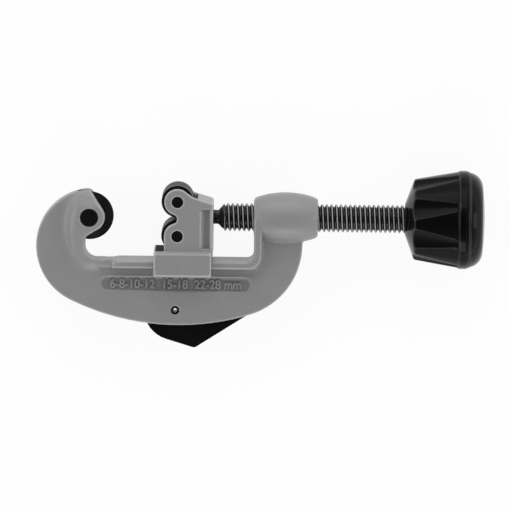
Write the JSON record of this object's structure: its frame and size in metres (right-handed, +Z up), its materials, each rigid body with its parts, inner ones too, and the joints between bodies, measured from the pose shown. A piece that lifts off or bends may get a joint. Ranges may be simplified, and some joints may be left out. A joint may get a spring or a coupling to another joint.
{
  "type": "tube cutter",
  "caption": "Hand tube cutter with a hook-shaped frame, a sliding roller jaw driven by a feed screw and knob, a cutter wheel and a folding reamer.",
  "frame": {"origin": "the axis of the tube that the jaws hold, level with the edge of the cutter wheel", "axes": "The tool lies on its side. +X runs along the feed screw towards the knob, +Y points from the rail towards the open side of the jaws, +Z is up and is the axis of the tube."},
  "size_m": [0.1908, 0.077, 0.042],
  "materials": {
    "frame_cast": "fine satin grey coat on a smooth casting",
    "slide_cast": "fine satin grey coat on a smooth casting",
    "wheel_steel": "blackened and ground tool steel",
    "roller_steel": "blackened, turned",
    "pin_steel": "blackened, rounded by wear",
    "screw_steel": "oiled dark steel with bright crests",
    "blade_steel": "black oxide with a ground edge",
    "clip_steel": "plain spring steel",
    "knob_plastic": "glossy black moulded plastic"
  },
  "bodies": {
    "frame": {"frame": "frame_cast", "wheel_axle": "pin_steel", "axle_clip": "clip_steel", "reamer_pin": "clip_steel", "reamer_washers": "clip_steel"},
    "wheel": {"cutter_wheel": "wheel_steel"},
    "reamer": {"reamer_blade": "blade_steel"},
    "slide": {"slide_housing": "slide_cast", "upper_roller_pin": "pin_steel", "lower_roller_pin": "pin_steel"},
    "upper_roller": {"upper_roller": "roller_steel"},
    "lower_roller": {"lower_roller": "roller_steel"},
    "screw": {"feed_screw": "screw_steel", "screw_washer": "clip_steel", "screw_clip": "clip_steel", "knob_body": "knob_plastic", "knob_washer": "clip_steel", "knob_screw": "clip_steel", "spare_wheel": "wheel_steel"},
    "cap": {"knob_cap": "knob_plastic"}
  },
  "joints": [
    {"name": "slide_travel", "type": "slide", "parent": "frame", "child": "slide", "axis": [1, 0, 0], "range_m": [-0.0218, 0.015]},
    {"name": "screw_turn", "type": "hinge", "parent": "slide", "child": "screw", "pos_m": [0.09, 0, 0], "axis": [1, 0, 0], "range_deg": [-3925, 2701]},
    {"name": "wheel_spin", "type": "hinge", "parent": "frame", "child": "wheel", "pos_m": [-0.02125, 0, 0], "axis": [0, 0, 1], "continuous": true},
    {"name": "upper_roller_spin", "type": "hinge", "parent": "slide", "child": "upper_roller", "pos_m": [0.01623, 0.0073, 0], "axis": [0, 0, 1], "continuous": true},
    {"name": "lower_roller_spin", "type": "hinge", "parent": "slide", "child": "lower_roller", "pos_m": [0.01623, -0.0073, 0], "axis": [0, 0, 1], "continuous": true},
    {"name": "reamer_fold", "type": "hinge", "parent": "frame", "child": "reamer", "pos_m": [0.01555, -0.0399, 0], "axis": [0, 0, 1], "range_deg": [-100, 0]},
    {"name": "cap_pull", "type": "slide", "parent": "screw", "child": "cap", "axis": [1, 0, 0], "range_m": [0, 0.015]}
  ],
  "couplings": [
    {"joint": "screw_turn", "follows": "slide_travel", "rad_per_m": 3141.6}
  ]
}
